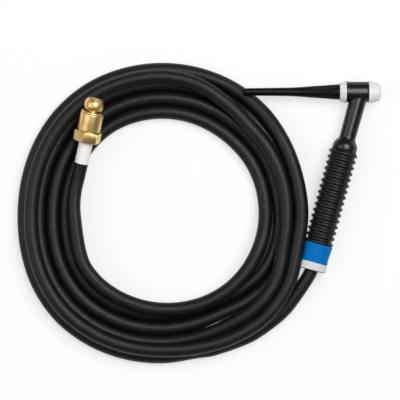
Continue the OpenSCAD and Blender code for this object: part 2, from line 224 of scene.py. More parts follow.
def noiseOn(tree, vector, scale, detail=3.0, roughness=0.5):
    node = addNode(tree, "ShaderNodeTexNoise", Scale=scale, Detail=detail, Roughness=roughness)
    tree.links.new(vector, node.inputs["Vector"])
    return node.outputs["Fac"]


def rampOn(tree, factor, low, high, start=0.3, end=0.7):
    node = addNode(tree, "ShaderNodeMapRange")
    node.inputs["From Min"].default_value = start
    node.inputs["From Max"].default_value = end
    node.inputs["To Min"].default_value = low
    node.inputs["To Max"].default_value = high
    tree.links.new(factor, node.inputs["Value"])
    return node.outputs["Result"]


def mixColours(tree, factor, first, second):
    node = addNode(tree, "ShaderNodeMix", data_type="RGBA")
    for socket, colour in ((6, first), (7, second)):
        node.inputs[socket].default_value = (*colour, 1)
    tree.links.new(factor, node.inputs[0])
    return node.outputs[2]


def bumpFrom(tree, height, distance, onto=None):
    node = addNode(tree, "ShaderNodeBump", Distance=distance, Strength=1.0)
    tree.links.new(height, node.inputs["Height"])
    if onto is not None:
        tree.links.new(onto, node.inputs["Normal"])
    return node.outputs["Normal"]


def mouldedPlastic(name, settings):
    # black moulding: faint tone drift, fine grain and a few handling scuffs
    material, tree, shader = startMaterial(name)
    link = tree.links.new
    place = placedCoordinates(tree)
    drift = noiseOn(tree, place, settings["driftScale"])
    link(mixColours(tree, rampOn(tree, drift, 0, 1), settings["dark"], settings["light"]),
         shader.inputs["Base Color"])
    scuffs = noiseOn(tree, place, settings["scuffScale"], 6, 0.65)
    low, high = settings["roughness"]
    link(rampOn(tree, scuffs, low, high, *settings["scuffEdge"]), shader.inputs["Roughness"])
    grain = noiseOn(tree, place, settings["grainScale"], 2)
    link(bumpFrom(tree, grain, settings["grainHeight"] * mm), shader.inputs["Normal"])
    shader.inputs["Specular IOR Level"].default_value = settings["specular"]
    return material


mouldedFinish = {"driftScale": 90, "scuffEdge": (0.4, 0.68)}
headBlack = mouldedPlastic("head moulding, gloss black", {
    "dark": (0.002, 0.002, 0.003), "light": (0.004, 0.004, 0.006), "roughness": (0.27, 0.32),
    "scuffScale": 260, "grainScale": 900, "grainHeight": 0.001, "specular": 0.5,
    **mouldedFinish})
capBlack = mouldedPlastic("cap moulding, deep black", {
    "dark": (0.001, 0.001, 0.0013), "light": (0.002, 0.002, 0.0025), "roughness": (0.34, 0.42),
    "scuffScale": 240, "grainScale": 1100, "grainHeight": 0.003, "specular": 0.16,
    **mouldedFinish})
handleBlack = mouldedPlastic("handle moulding, satin black", {
    "dark": (0.003, 0.003, 0.0035), "light": (0.005, 0.005, 0.006), "roughness": (0.42, 0.5),
    "scuffScale": 300, "grainScale": 1500, "grainHeight": 0.004, "specular": 0.36,
    **mouldedFinish})
sealBlack = mouldedPlastic("seal rubber", {
    "dark": (0.006, 0.006, 0.006), "light": (0.011, 0.011, 0.011), "roughness": (0.45, 0.6),
    "scuffScale": 300, "grainScale": 1500, "grainHeight": 0.01, "specular": 0.4,
    **mouldedFinish})


def whitePlastic(name, place, settings):
    # machined white insulator: fine turning lines round its axis
    material, tree, shader = startMaterial(name)
    link = tree.links.new
    local = placedCoordinates(tree, place)
    tone = noiseOn(tree, local, settings["toneScale"], 4)
    link(mixColours(tree, rampOn(tree, tone, 0, 1), settings["shade"], settings["clean"]),
         shader.inputs["Base Color"])
    rings = linesOn(tree, local, settings["linesPerMetre"], settings["wander"], 1)
    link(bumpFrom(tree, rings, settings["lineHeight"] * mm), shader.inputs["Normal"])
    shader.inputs["Roughness"].default_value = settings["roughness"]
    shader.inputs["Subsurface Weight"].default_value = settings["glow"]
    shader.inputs["Subsurface Radius"].default_value = (settings["glowDepth"] * mm,) * 3
    return material


insulatorWhite = whitePlastic("insulator, white", headAxis, {
    "shade": (0.72, 0.72, 0.71), "clean": (0.8, 0.8, 0.79), "toneScale": 220,
    "roughness": 0.42, "glow": 0.12, "glowDepth": 2,
    "linesPerMetre": 4500, "lineHeight": 0.002, "wander": 0.6})


def brass(name, place, settings):
    # turned brass: cutting lines round the axis and faint tarnish
    material, tree, shader = startMaterial(name)
    link = tree.links.new
    local = placedCoordinates(tree, place)
    tarnish = noiseOn(tree, local, settings["tarnishScale"], 5, 0.6)
    base = mixColours(tree, rampOn(tree, tarnish, 0, 1, *settings["tarnishEdge"]),
                      settings["dull"], settings["bright"])
    link(base, shader.inputs["Base Color"])
    shader.inputs["Metallic"].default_value = 1.0
    low, high = settings["roughness"]
    polish = noiseOn(tree, local, settings["polishScale"], 4)
    link(rampOn(tree, polish, low, high), shader.inputs["Roughness"])
    lines = linesOn(tree, local, settings["linesPerMetre"], settings["wander"], 1)
    link(bumpFrom(tree, lines, settings["lineHeight"] * mm), shader.inputs["Normal"])
    return material


turnedFinish = {"tarnishScale": 90, "tarnishEdge": (0.35, 0.65), "polishScale": 700,
                "lineHeight": 0.0012, "wander": 0.4}
connectorBrass = brass("connector brass, turned", connectorAxis, {
    "dull": (0.74, 0.46, 0.16), "bright": (0.92, 0.68, 0.31), "roughness": (0.33, 0.41),
    "linesPerMetre": 2600, **turnedFinish})
headBrass = brass("head brass, turned", headAxis, {
    "dull": (0.6, 0.38, 0.13), "bright": (0.8, 0.57, 0.24), "roughness": (0.22, 0.36),
    "linesPerMetre": 3800, **turnedFinish})
neckBrass = brass("handle brass, turned", neckAxis, {
    "dull": (0.55, 0.35, 0.12), "bright": (0.76, 0.54, 0.22), "roughness": (0.26, 0.4),
    "linesPerMetre": 3800, **turnedFinish})


def hoseRubber(settings):
    # wrapped rubber hose: the cloth's imprint follows the surface through the piece's UV map
    material, tree, shader = startMaterial("hose rubber, wrapped finish")
    link = tree.links.new
    surface = addNode(tree, "ShaderNodeUVMap", uv_map="hoseSurface").outputs["UV"]
    place = placedCoordinates(tree)
    tone = noiseOn(tree, place, settings["toneScale"], 5, 0.6)
    link(mixColours(tree, rampOn(tree, tone, 0, 1), settings["dark"], settings["light"]),
         shader.inputs["Base Color"])
    low, high = settings["roughness"]
    rub = noiseOn(tree, place, settings["rubScale"], 4)
    link(rampOn(tree, rub, low, high), shader.inputs["Roughness"])
    threads = []
    for turn in (settings["weaveAngle"], -settings["weaveAngle"]):
        mapping = addNode(tree, "ShaderNodeMapping", Rotation=(0, 0, math.radians(turn)))
        link(surface, mapping.inputs["Vector"])
        threads.append(linesOn(tree, mapping.outputs["Vector"], settings["threadsPerMetre"],
                               settings["wander"], 2, "X"))
    crossed = addNode(tree, "ShaderNodeMath", operation="MULTIPLY")
    link(threads[0], crossed.inputs[0])
    link(threads[1], crossed.inputs[1])
    imprint = bumpFrom(tree, crossed.outputs[0], settings["imprint"] * mm)
    lumps = noiseOn(tree, surface, settings["lumpScale"], 3)
    link(bumpFrom(tree, lumps, settings["lumps"] * mm, imprint), shader.inputs["Normal"])
    shader.inputs["Specular IOR Level"].default_value = settings["specular"]
    return material


rubber = hoseRubber({
    "dark": (0.003, 0.0028, 0.0026), "light": (0.0055, 0.005, 0.0045), "toneScale": 60,
    "roughness": (0.42, 0.52), "rubScale": 240, "specular": 0.34,
    "weaveAngle": 45, "threadsPerMetre": 900, "wander": 0.6, "imprint": 0.02,
    "lumpScale": 45, "lumps": 0.05})


def labelFilm(name, settings, place):
    # film sleeve: two bands of colour along its axis, faintly mottled and crinkled
    material, tree, shader = startMaterial(name)
    link = tree.links.new
    local = placedCoordinates(tree, place)
    split = addNode(tree, "ShaderNodeSeparateXYZ")
    link(local, split.inputs[0])
    along = split.outputs["Z"]
    tone = rampOn(tree, noiseOn(tree, local, settings["mottleScale"], 3), *settings["mottle"])
    edge, blur = settings["bandEdge"] * mm, settings["bandBlur"] * mm
    band = rampOn(tree, along, 0, 1, edge - blur, edge + blur)
    base = mixColours(tree, band, settings["first"], settings["second"])
    shade = addNode(tree, "ShaderNodeMix", data_type="RGBA", blend_type="MULTIPLY")
    shade.inputs[0].default_value = 1
    link(base, shade.inputs[6])
    link(tone, shade.inputs[7])
    link(shade.outputs[2], shader.inputs["Base Color"])
    crinkle = noiseOn(tree, local, settings["crinkleScale"], 2)
    link(bumpFrom(tree, crinkle, settings["crinkle"] * mm), shader.inputs["Normal"])
    shader.inputs["Roughness"].default_value = settings["roughness"]
    shader.inputs["Specular IOR Level"].default_value = settings["specular"]
    return material


filmFinish = {"mottleScale": 160, "mottle": (0.94, 1.0), "crinkleScale": 300,
              "crinkle": 0.02, "bandBlur": 0.06, "specular": 0.06}
handleFilm = labelFilm("handle label film", {
    "first": (0.0, 0.16, 0.48), "second": (0.74, 0.74, 0.73), "bandEdge": 18.2,
    "roughness": 0.5, **filmFinish}, neckAxis @ up(labelStart))
hoseFilm = labelFilm("hose label film", {
    "first": (0.9, 0.91, 0.91), "second": (0.92, 0.92, 0.92), "bandEdge": 0.0,
    "roughness": 0.4, **filmFinish}, connectorAxis)
print("materials ready")


# camera, straight down on the torch; its width in mm is measured at the subject's height
camera = {"centre": (-112.2, -22.65), "height": 4.0, "width": 400, "sensor": 36,
          "subjectHeight": 0.014, "reach": 20}
bpy.ops.object.camera_add(location=(camera["centre"][0] * mm, camera["centre"][1] * mm,
                                    camera["height"]), rotation=(0, 0, 0))
cameraObject = bpy.context.object
cameraObject.name = "camera"
cameraObject.data.sensor_width = camera["sensor"]
cameraObject.data.lens = (camera["sensor"] * (camera["height"] - camera["subjectHeight"])
                          / (camera["width"] * mm))
cameraObject.data.clip_end = camera["reach"]
bpy.context.scene.camera = cameraObject
bpy.context.scene.view_settings.view_transform = "Standard"

studio = {"floorSize": 6, "floorCentre": (-0.112, -0.022, 0), "paper": (0.97, 0.97, 0.97, 1),
          "paperRoughness": 0.95, "paperGlow": 1.0, "glowShare": 0.6,
          "air": (0.97, 0.98, 1.0, 1), "airStrength": 0.16}
lights = {"key soft box": {"at": (0.74, 0.60, 2.4), "to": (0.0, 0.05, 0),
                           "size": (1.75, 1.75), "power": 56},
          "left soft box": {"at": (-1.9, 0.10, 2.0), "to": (-0.15, -0.02, 0),
                            "size": (2.2, 2.6), "power": 25}}


def layFloor():
    # pale paper; seen straight or in a shine it also glows a little, so it stays white
    deselectAll()
    bpy.ops.mesh.primitive_plane_add(size=studio["floorSize"], location=studio["floorCentre"])
    floor = bpy.context.object
    floor.name = "floor"
    bpy.ops.object.transform_apply(location=True, rotation=True, scale=True)
    paper, tree, shader = startMaterial("floor paper")
    link = tree.links.new
    shader.inputs["Base Color"].default_value = studio["paper"]
    shader.inputs["Roughness"].default_value = studio["paperRoughness"]
    shader.inputs["Specular IOR Level"].default_value = 0.0
    glow = addNode(tree, "ShaderNodeEmission", Strength=studio["paperGlow"])
    paths = addNode(tree, "ShaderNodeLightPath")
    seen = paths.outputs["Is Camera Ray"]
    for ray in ("Is Glossy Ray", "Is Transmission Ray"):
        either = addNode(tree, "ShaderNodeMath", operation="MAXIMUM")
        link(seen, either.inputs[0])
        link(paths.outputs[ray], either.inputs[1])
        seen = either.outputs[0]
    share = addNode(tree, "ShaderNodeMath", operation="MULTIPLY")
    share.inputs[1].default_value = studio["glowShare"]
    link(seen, share.inputs[0])
    blend = addNode(tree, "ShaderNodeMixShader")
    link(share.outputs[0], blend.inputs[0])
    link(shader.outputs[0], blend.inputs[1])
    link(glow.outputs[0], blend.inputs[2])
    output = next(n for n in tree.nodes if n.type == "OUTPUT_MATERIAL")
    link(blend.outputs[0], output.inputs["Surface"])
    floor.data.materials.append(paper)


def softBox(name, settings):
    place = Vector(settings["at"])
    bpy.ops.object.light_add(type="AREA", location=place)
    box = bpy.context.object
    box.name = name
    box.data.shape = "RECTANGLE"
    box.data.size, box.data.size_y = settings["size"]
    box.data.energy = settings["power"]
    box.rotation_euler = (Vector(settings["to"]) - place).to_track_quat("-Z", "Y").to_euler()


layFloor()
for name, settings in lights.items():
    softBox(name, settings)

world = bpy.context.scene.world or bpy.data.worlds.new("studio")
bpy.context.scene.world = world
world.use_nodes = True
background = next(n for n in world.node_tree.nodes if n.type == "BACKGROUND")
background.inputs["Color"].default_value = studio["air"]
background.inputs["Strength"].default_value = studio["airStrength"]
print("camera, floor and lights ready")


# the hose, one piece from the handle to the connector
hose = {"diameter": 14.25, "endDiameter": 13.4, "sides": 32, "step": 4.5, "coilRadius": 144,
        "loopStep": 14, "layerStep": 14, "press": 6.3, "coilCentre": (-150.2, -35.6),
        "ringsPerTurn": 24, "firstRing": 5, "lastRing": 132, "insideHandle": 11,
        "straightOut": 2, "slimAtStart": 4, "slimAtEnd": 16, "slimTaper": 40}
# part of a turn, how far every loop leaves the circle
coilShape = [(0, 1.6), (0.20, -0.8), (0.36, 1.3), (0.51, -hose["press"]), (0.68, -0.7),
             (0.84, -0.7), (0.95, 1.6), (1, 1.6)]
# whole turns from the handle, places in from the outermost loop
coilPlaces = [(0.84, 0), (0.96, 0.48), (1.045, 0.42), (1.105, -0.2),
              (1.27, 0.5), (1.75, 0.5), (1.89, 1.5), (2.02, 1.5), (2.11, 0.75), (2.2, 1),
              (3.06, 1), (3.19, 2), (4.06, 2), (4.19, 3), (5.10, 3), (5.36, 3.6),
              (5.50, 3.54)]
# whole turns from the handle, layer
coilLayers = [(0.82, 0), (0.94, 1), (2.12, 1), (2.23, 0), (4.95, 0), (5.07, 1)]
# out from the coil, clockwise angle, height of the lead on its way down from the handle
leadBend = [(13.0, 31, 6.2), (11.8, 38.8, 3.6), (9.2, 46.4, 1.5), (6.6, 55.1, 0.5)]
tailBend = [(-56.1, 180.1, 14.0), (-54.6, 194.2, 14.3)]


def easeBetween(knots, t):
    if t <= knots[0][0]:
        return knots[0][1]
    for (t0, v0), (t1, v1) in zip(knots, knots[1:]):
        if t <= t1:
            return v0 + (v1 - v0) * (1 - math.cos(math.pi * (t - t0) / (t1 - t0))) / 2
    return knots[-1][1]


def aroundCoil(radius, angle, height):
    turn = math.radians(angle)
    return Vector((hose["coilCentre"][0] + radius * math.cos(turn),
                   hose["coilCentre"][1] - radius * math.sin(turn),
                   hose["diameter"] / 2 + height))


def coilPoint(t):
    radius = (hose["coilRadius"] - hose["loopStep"] * easeBetween(coilPlaces, t)
              + easeBetween(coilShape, t % 1))
    return aroundCoil(radius, 360 * t, hose["layerStep"] * easeBetween(coilLayers, t))


coilPath = [coilPoint(i / hose["ringsPerTurn"])
            for i in range(hose["firstRing"], hose["lastRing"] - 1)]
startDirection = (coilPath[1] - coilPath[0]).normalized()
straight = hose["endDiameter"]
leadPath = [onNeck(torch["handleEnd"] - hose["insideHandle"]),
            onNeck(torch["handleEnd"] + hose["straightOut"])]
leadPath += [aroundCoil(hose["coilRadius"] + out, angle, height)
             for out, angle, height in leadBend]
leadPath.append(coilPath[0] - straight * startDirection)
tailPath = [aroundCoil(hose["coilRadius"] + out, angle, height)
            for out, angle, height in tailBend]
tailPath += [connectorBase - straight * connectorDirection, connectorBase,
             connectorBase + connector["hoseEnd"] * connectorDirection]


def smoothThrough(knots, step, finer=12):
    # an even run of points on one smooth curve through the knots
    fine = []
    for i in range(len(knots) - 1):
        a, b = knots[i], knots[i + 1]
        before = knots[i - 1] if i else 2 * a - b
        after = knots[i + 2] if i + 2 < len(knots) else 2 * b - a
        chord = (b - a).length
        leave = chord * (b - before) / ((a - before).length + chord)
        arrive = chord * (after - a) / ((after - b).length + chord)
        for k in range(finer):
            u = k / finer
            fine.append((2 * u**3 - 3 * u**2 + 1) * a + (u**3 - 2 * u**2 + u) * leave
                        + (3 * u**2 - 2 * u**3) * b + (u**3 - u**2) * arrive)
    fine.append(knots[-1])
    reached = [0.0]
    for a, b in zip(fine, fine[1:]):
        reached.append(reached[-1] + (b - a).length)
    count = round(reached[-1] / step)
    even, k = [], 0
    for i in range(count + 1):
        goal = reached[-1] * i / count
        while k < len(fine) - 2 and reached[k + 1] < goal:
            k += 1
        u = (goal - reached[k]) / (reached[k + 1] - reached[k])
        even.append(fine[k].lerp(fine[k + 1], min(max(u, 0), 1)))
    return even, reached[-1]


def layHose(name, route, settings):
    # rings square to the route, skinned into one closed tube with its own UV map; the hose
    # is a little slimmer where it is held, in the handle and under the label
    sides = settings["sides"]
    diameter = settings["diameter"]
    slimming = diameter - settings["endDiameter"]
    points, faces, uvs = [], [], []
    side = Vector((1, 0, 0))
    travelled = 0.0
    last = len(route) - 1
    for i, centre in enumerate(route):
        along = (route[min(i + 1, last)] - route[max(i - 1, 0)]).normalized()
        side = (side - side.dot(along) * along).normalized()
        upward = along.cross(side)
        ringsIn = min(i - settings["slimAtStart"], last - settings["slimAtEnd"] - i)
        fullness = min(max(ringsIn * settings["step"] / settings["slimTaper"], 0), 1)
        here = diameter - slimming * (1 - fullness)
        for k in range(sides):
            a = math.tau * k / sides
            points.append((centre + here / 2 * (math.cos(a) * side
                                                + math.sin(a) * upward)) * mm)
    for i in range(last):
        stepLength = (route[i + 1] - route[i]).length
        for k in range(sides):
            a, b = i * sides + k, i * sides + (k + 1) % sides
            faces.append((a, b, b + sides, a + sides))
            u0, u1 = (math.pi * diameter * mm * (k + j) / sides for j in (0, 1))
            v0, v1 = travelled * mm, (travelled + stepLength) * mm
            uvs += [(u0, v0), (u1, v0), (u1, v1), (u0, v1)]
        travelled += stepLength
    for ring, order in ((0, -1), (last, 1)):
        faces.append(tuple(range(ring * sides, (ring + 1) * sides))[::order])
        uvs += [(0.0, 0.0)] * sides
    mesh = bpy.data.meshes.new(name)
    mesh.from_pydata(points, [], faces)
    layer = mesh.uv_layers.new(name="hoseSurface")
    layer.data.foreach_set("uv", [x for uv in uvs for x in uv])
    piece = bpy.data.objects.new(name, mesh)
    bpy.context.scene.collection.objects.link(piece)
    return settle(piece, Matrix.Identity(4))


hoseRoute, hoseLength = smoothThrough(leadPath + coilPath + tailPath, hose["step"])
hosePiece = layHose("hose", hoseRoute, hose)
dress(hosePiece, "torch_and_hose", rubber, "hose_rubber",
      "hose_lead", "hose_coil", "hose_tail")
print(f"hose laid: {hoseLength:.0f} mm, {len(hoseRoute)} rings")


# torch head and neck, one moulding
headMoulding = {"radius": 10.3, "neckRadius": 8.65, "waistRadius": 8.15, "waistAt": 47,
                "flare": 9, "shoulder": 12.5, "rim": 60.4, "spigot": 9.5, "spigotEnd": 76.7,
                "bore": 6.1, "tubeBore": 3.6, "tubeBoreLength": 160, "fillet": 1.5,
                "taperFrom": 10, "ringStep": 0.7, "headRings": 31, "neckRings": 73,
                "boreMiddle": -3, "overrun": 4}


def neckRadiusAt(s):
    # straight taper to the waist, then a soft flare to the shoulder
    h = headMoulding
    if s <= h["waistAt"]:
        span = h["waistAt"] - h["taperFrom"]
        change = h["waistRadius"] - h["neckRadius"]
        return h["neckRadius"] + change * max(s - h["taperFrom"], 0) / span
    u = min((s - h["waistAt"]) / h["flare"], 1)
    return h["waistRadius"] + (h["shoulder"] - h["waistRadius"]) * (1 - math.cos(math.pi * u)) / 2


def makeHeadMoulding():
    h = headMoulding
    rear, front = -torch["headRear"], torch["headFront"]
    rows = [(0, rear), (h["radius"], rear, 0.5)]
    rows += [(h["radius"], rear + 1 + h["ringStep"] * i) for i in range(h["headRings"])]
    rows += [(h["radius"], front, 0.5), (0, front)]
    head = turnPiece("headMoulding", rows, 112)
    pick(head)
    head.rotation_euler = (0, math.pi / 2, 0)
    bpy.ops.object.transform_apply(rotation=True)
    rows = [(0, 1), (h["neckRadius"], 1)]
    rows += [(neckRadiusAt(s), s)
             for s in (5 + h["ringStep"] * i for i in range(h["neckRings"]))]
    rows += [(h["shoulder"], h["rim"], 0.8), (h["spigot"], h["rim"]),
             (h["spigot"], h["spigotEnd"], 1), (0, h["spigotEnd"])]
    neck = turnPiece("neck", rows, 96)
    pick(neck)
    neck.rotation_euler = (math.pi / 2, 0, -neckTurn)
    bpy.ops.object.transform_apply(rotation=True)
    combine(head, neck, "UNION")

    def nearTheJoint(p):
        s = p.dot(neckDirection)
        offHead = math.hypot(p.y, p.z) - h["radius"]
        offNeck = (p - s * neckDirection).length - h["neckRadius"]
        return s > 2 and offHead < h["fillet"] and offNeck < h["fillet"]

    # the corner between head and neck is eased, as in a mould
    choose(head, nearTheJoint)
    bpy.ops.mesh.remove_doubles(threshold=0.06 * mm)
    bpy.ops.mesh.vertices_smooth(factor=0.5, repeat=5)
    bpy.ops.object.mode_set(mode="OBJECT")
    reach = torch["headRear"] + torch["headFront"] + h["overrun"]
    for name, radius, length, turn, middle in (
            ("headBore", h["bore"], reach, (0, math.pi / 2, 0), Vector((h["boreMiddle"], 0, 0))),
            ("tubeBore", h["tubeBore"], h["tubeBoreLength"], (math.pi / 2, 0, -neckTurn),
             neckDirection * (h["tubeBoreLength"] / 2))):
        deselectAll()
        bpy.ops.mesh.primitive_cylinder_add(vertices=72, radius=radius * mm,
                                            depth=length * mm, rotation=turn)
        drill = bpy.context.object
        drill.name = name
        drill.location = middle * mm
        bpy.ops.object.transform_apply(location=True, rotation=True)
        combine(head, drill, "DIFFERENCE")
    settle(head, torchPlace, 40)
    return dress(head, "torch_and_hose", headBlack, "head_moulding", "head_insulation")


makeHeadMoulding()
print("head moulding made")


# white insulators, in front of and behind the head
insulator = {"front": 10.2, "frontLength": 12, "frontRound": 2.2, "nose": 6.05, "noseDepth": 6.3,
             "hole": 5.2, "rear": 10.2, "rearEnd": 8.5, "rim": 1.2, "length": 5.4,
             "neck": 4.9, "seatRadius": 7.25, "seatDepth": 3.8, "holeChamfer": 0.6, "gap": 0.1}


def makeFrontInsulator():
    w = insulator
    rows = [(w["nose"], 0), (w["front"], 0, 0.35), (w["front"], w["frontLength"], w["frontRound"]),
            (w["hole"] + w["holeChamfer"], w["frontLength"]),
            (w["hole"], w["frontLength"] - w["holeChamfer"]),
            (w["hole"], w["noseDepth"]), (w["nose"], w["noseDepth"]), (w["nose"], 0)]
    piece = turnPiece("frontInsulator", rows, 112)
    settle(piece, headAxis @ up(torch["headFront"] + w["gap"]), 40)
    return dress(piece, "insulator", insulatorWhite, "white_insulator", "front_insulator")


def makeRearCollar():
    w = insulator
    rows = [(w["neck"], 0), (w["rear"], 0, 0.35), (w["rear"], w["rim"], 0.3)]
    for i in range(1, 9):
        a = math.pi / 2 * i / 9
        rows.append((w["rearEnd"] + (w["rear"] - w["rearEnd"]) * math.cos(a),
                     w["rim"] + (w["length"] - w["rim"]) * math.sin(a)))
    rows += [(w["rearEnd"], w["length"], 0.25), (w["seatRadius"], w["length"]),
             (w["seatRadius"], w["seatDepth"]), (w["neck"], w["seatDepth"]), (w["neck"], 0)]
    piece = turnPiece("rearCollar", rows, 112)
    settle(piece, capAxis @ up(torch["headRear"]), 40)
    return dress(piece, "torch_and_hose", insulatorWhite, "white_insulator", "rear_collar")


makeFrontInsulator()
makeRearCollar()
print("insulators made")


# back cap, its brass insert and its seal ring
backCap = {"profile": [(0, 7.8), (6, 7.45), (12, 6.95), (18, 6.5), (24, 6.1), (30, 5.7),
                       (36, 5.2), (42, 4.7), (48, 4.4), (56, 4.2), (66, 4.1), (80, 3.9),
                       (96.7, 3.6)],
           "length": 96.7, "rows": 64, "sides": 144, "flutes": 12, "fluteDepth": 0.6,
           "fluteFrom": 2.2, "fluteTo": 46, "fluteStart": 4, "fluteFade": 34, "ridge": 0.25,
           "mouth": 5.0, "boreDepth": 14, "electrode": 2.0, "tipWall": 6, "tipRound": 1.1}


def capRadius(z):
    profile = backCap["profile"]
    for (z0, r0), (z1, r1) in zip(profile, profile[1:]):
        if z <= z1:
            return r0 + (r1 - r0) * (z - z0) / (z1 - z0)
    return profile[-1][1]


def softRadius(z):
    # the same profile with its corners eased
    return sum(capRadius(min(max(z + d, 0), backCap["length"])) for d in (-4, -2, 0, 2, 4)) / 5


def makeBackCap():
    c = backCap
    length = c["length"]
    rows = [(0, length - c["tipWall"]), (c["electrode"], length - c["tipWall"]),
            (c["electrode"], c["boreDepth"]), (c["mouth"], c["boreDepth"]), (c["mouth"], 0),
            (softRadius(0), 0, 0.5)]
    rows += [(softRadius(z), z) for z in
             (1 + (length - 3) * (i / c["rows"]) for i in range(c["rows"] + 1))]
    rows += [(softRadius(length), length, c["tipRound"]), (0, length)]
    piece = turnPiece("backCap", rows, c["sides"])
    # finger flutes pressed in round the flared grip, fading out towards the stem
    for vertex in piece.data.vertices:
        x, y, z = vertex.co / mm
        radius = math.hypot(x, y)
        if abs(radius - softRadius(z)) > 0.4:    # the bore stays round
            continue
        fade = (min(max((z - c["fluteFrom"]) / c["fluteStart"], 0), 1)
                * min(max((c["fluteTo"] - z) / c["fluteFade"], 0), 1))
        hollow = max(math.cos(math.atan2(y, x) * c["flutes"]), -c["ridge"]) + c["ridge"]
        sink = c["fluteDepth"] * fade * hollow / (1 + c["ridge"])
        vertex.co.x *= (radius - sink) / radius
        vertex.co.y *= (radius - sink) / radius
    settle(piece, capAxis @ up(capStart), 40)
    return dress(piece, "cap", capBlack, "cap_moulding", "back_cap")


def makeThread(name, root, crest, pitch, low, high, inner, sides):
    # one tooth of the profile, wound up by a screw, cut square at both ends and closed inside
    turns = int((high - low) / pitch) + 3
    start = low - 1.5 * pitch
    weld = 0.005 * mm
    # heights as parts of the pitch
    rows = [(root, 0), (root, 0.12), (crest, 0.42), (crest, 0.58), (root, 0.88), (root, 1)]
    deselectAll()
    bpy.ops.mesh.primitive_plane_add(size=mm)
    piece = bpy.context.object
    piece.name = piece.data.name = name
    bpy.ops.object.mode_set(mode="EDIT")
    bpy.ops.mesh.select_mode(type="VERT")
    bpy.ops.mesh.select_all(action="SELECT")
    bpy.ops.mesh.merge(type="CENTER")
    bpy.ops.transform.translate(value=(rows[0][0] * mm, 0, start * mm))
    for (r0, z0), (r1, z1) in zip(rows, rows[1:]):
        bpy.ops.mesh.extrude_vertices_move(
            TRANSFORM_OT_translate={"value": ((r1 - r0) * mm, 0, (z1 - z0) * pitch * mm)})
    bpy.ops.object.mode_set(mode="OBJECT")
    winding = piece.modifiers.new("winding", "SCREW")
    winding.angle = math.tau
    winding.screw_offset = pitch * mm
    winding.iterations = turns
    winding.steps = winding.render_steps = sides
    winding.use_merge_vertices = True
    winding.merge_threshold = weld
    bpy.ops.object.modifier_apply(modifier=winding.name)
    bpy.ops.object.mode_set(mode="EDIT")
    bpy.ops.mesh.select_all(action="SELECT")
    bpy.ops.mesh.remove_doubles(threshold=weld)
    for height, clearAbove in ((low, False), (high, True)):
        bpy.ops.mesh.select_all(action="SELECT")
        bpy.ops.mesh.bisect(plane_co=(0, 0, height * mm), plane_no=(0, 0, 1),
                            clear_outer=clearAbove, clear_inner=not clearAbove)
    bpy.ops.mesh.select_all(action="SELECT")
    bpy.ops.mesh.remove_doubles(threshold=weld)
    bpy.ops.object.mode_set(mode="OBJECT")
    # both ends are turned down, then the wall is closed round the bore
    for vertex in piece.data.vertices:
        x, y, z = vertex.co / mm
        radius = math.hypot(x, y)
        limit = root + 0.1 + min(z - low, high - z) * 0.8
        if radius > limit:
            vertex.co.x *= limit / radius
            vertex.co.y *= limit / radius
    choose(piece, lambda p: min(p.z - low, high - p.z) < 0.002)
    bpy.ops.mesh.select_mode(type="EDGE")
    bpy.ops.mesh.extrude_edges_move(TRANSFORM_OT_translate={"value": (0, 0, 0)})
    bpy.ops.object.mode_set(mode="OBJECT")
    for vertex in piece.data.vertices:
        if vertex.select:
            radius = math.hypot(vertex.co.x, vertex.co.y) / mm
            vertex.co.x *= inner / radius
            vertex.co.y *= inner / radius
    bpy.ops.object.mode_set(mode="EDIT")
    bpy.ops.mesh.bridge_edge_loops()
    bpy.ops.mesh.select_all(action="SELECT")
    bpy.ops.mesh.normals_make_consistent(inside=False)
    bpy.ops.object.mode_set(mode="OBJECT")
    return piece


capInsert = {"radius": 4.75, "root": 4.35, "crest": 4.8, "pitch": 1.0, "from": -9.2,
             "to": 19.6, "bore": 2.0}


def makeCapInsert():
    # stations from the head's rear face, negative inside the head
    c = capInsert
    rows = [(c["bore"], c["from"] + 0.5), (c["root"] - 0.1, c["from"] + 0.5),
            (c["root"] - 0.1, 0.2), (c["radius"], 0.4, 0.1), (c["radius"], c["to"]),
            (c["bore"], c["to"]), (c["bore"], c["from"] + 0.5)]
    shank = turnPiece("capThreadInsert", rows, 72)
    thread = makeThread("capThread", c["root"], c["crest"], c["pitch"], c["from"] + 0.3, 0.3,
                        c["root"] - 0.6, 48)
    piece = joinUp(shank, thread)
    settle(piece, capAxis @ up(torch["headRear"]), 30)
    return dress(piece, "cap", headBrass, "turned_brass", "cap_thread_insert")


seal = {"radius": 6.05, "thickness": 0.9, "sides": 20, "clear": 0.1}


def makeSeal():
    ring = seal
    deselectAll()
    bpy.ops.mesh.primitive_circle_add(vertices=ring["sides"], radius=ring["thickness"] * mm,
                                      location=(ring["radius"] * mm, 0, 0),
                                      rotation=(math.pi / 2, 0, 0))
    piece = bpy.context.object
    piece.name = piece.data.name = "capSeal"
    bpy.ops.object.transform_apply(location=True, rotation=True)
    bpy.ops.object.mode_set(mode="EDIT")
    bpy.ops.mesh.select_all(action="SELECT")
    bpy.ops.mesh.spin(steps=72, angle=math.tau, center=(0, 0, 0), axis=(0, 0, 1))
    bpy.ops.mesh.select_all(action="SELECT")
    bpy.ops.mesh.remove_doubles(threshold=weldGap)
    bpy.ops.mesh.normals_make_consistent(inside=False)
    bpy.ops.object.mode_set(mode="OBJECT")
    settle(piece, capAxis @ up(capStart - ring["thickness"] - ring["clear"]), 60)
    return dress(piece, "cap_carrier", sealBlack, "seal_rubber", "cap_seal")


makeBackCap()
makeCapInsert()
makeSeal()
print("back cap, insert and seal made")


